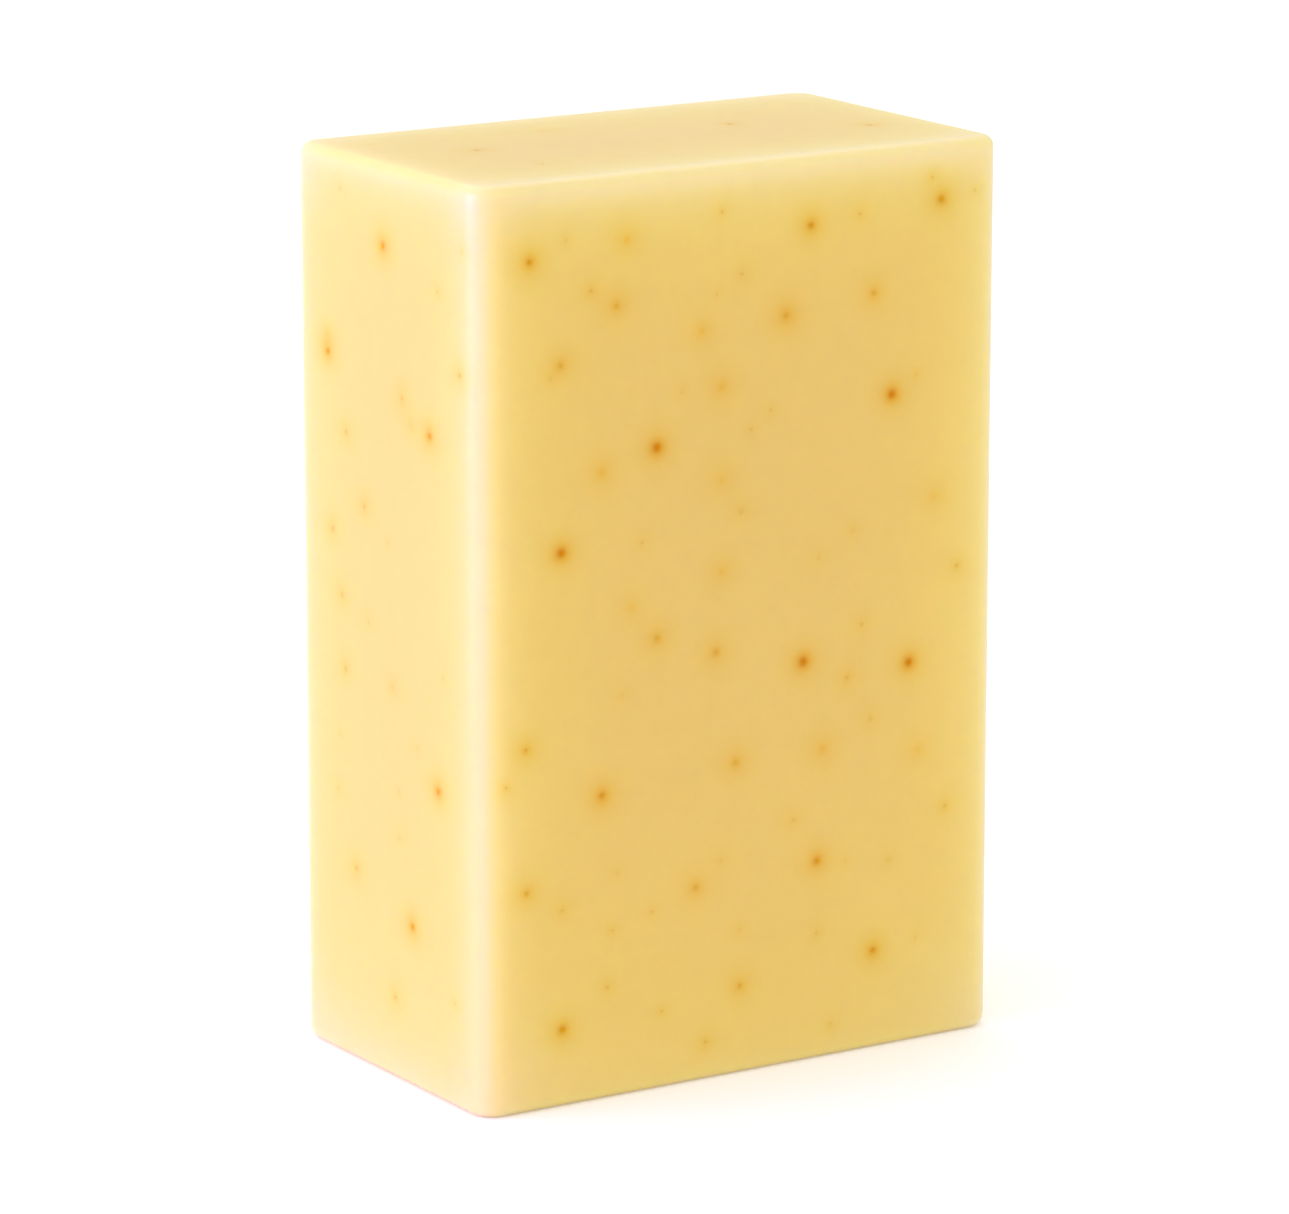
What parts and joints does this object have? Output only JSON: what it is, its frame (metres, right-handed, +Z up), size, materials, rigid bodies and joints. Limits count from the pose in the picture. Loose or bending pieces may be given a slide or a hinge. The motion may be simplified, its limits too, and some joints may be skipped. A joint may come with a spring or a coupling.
{
  "type": "soap bar",
  "caption": "Upright rectangular bar of pale yellow translucent soap with softly rounded edges and fine orange-brown grains set in its faces.",
  "frame": {"origin": "middle of the bottom short end, on the surface that the bar stands on", "axes": "+Z up along the bar's longest side, +X along its width, +Y through its thickness; the wide front face looks along -Y and the narrow left face along -X"},
  "size_m": [0.053, 0.031, 0.08],
  "materials": {
    "soap": "satin",
    "grain": "matte"
  },
  "bodies": {
    "root": {"bar_body": "soap", "front_grain_01": "grain", "front_grain_02": "grain", "front_grain_03": "grain", "front_grain_04": "grain", "front_grain_05": "grain", "front_grain_06": "grain", "front_grain_07": "grain", "front_grain_08": "grain", "front_grain_09": "grain", "front_grain_10": "grain", "front_grain_11": "grain", "front_grain_12": "grain", "front_grain_13": "grain", "front_grain_14": "grain", "front_grain_15": "grain", "front_grain_16": "grain", "front_grain_17": "grain", "front_grain_18": "grain", "front_grain_19": "grain", "front_grain_20": "grain", "front_grain_21": "grain", "front_grain_22": "grain", "front_grain_23": "grain", "left_grain_01": "grain", "left_grain_02": "grain", "left_grain_03": "grain", "left_grain_04": "grain", "left_grain_05": "grain", "left_grain_06": "grain", "left_grain_07": "grain", "left_grain_08": "grain", "left_grain_09": "grain", "left_grain_10": "grain", "left_grain_11": "grain", "left_grain_12": "grain", "left_grain_13": "grain", "left_grain_14": "grain", "top_grain_01": "grain", "top_grain_02": "grain", "top_grain_03": "grain", "back_grain_01": "grain", "back_grain_02": "grain", "back_grain_03": "grain", "back_grain_04": "grain", "back_grain_05": "grain", "back_grain_06": "grain", "back_grain_07": "grain", "back_grain_08": "grain", "back_grain_09": "grain", "back_grain_10": "grain", "back_grain_11": "grain", "back_grain_12": "grain", "right_grain_01": "grain", "right_grain_02": "grain", "right_grain_03": "grain", "right_grain_04": "grain", "right_grain_05": "grain", "bottom_grain_01": "grain", "bottom_grain_02": "grain"}
  },
  "joints": []
}
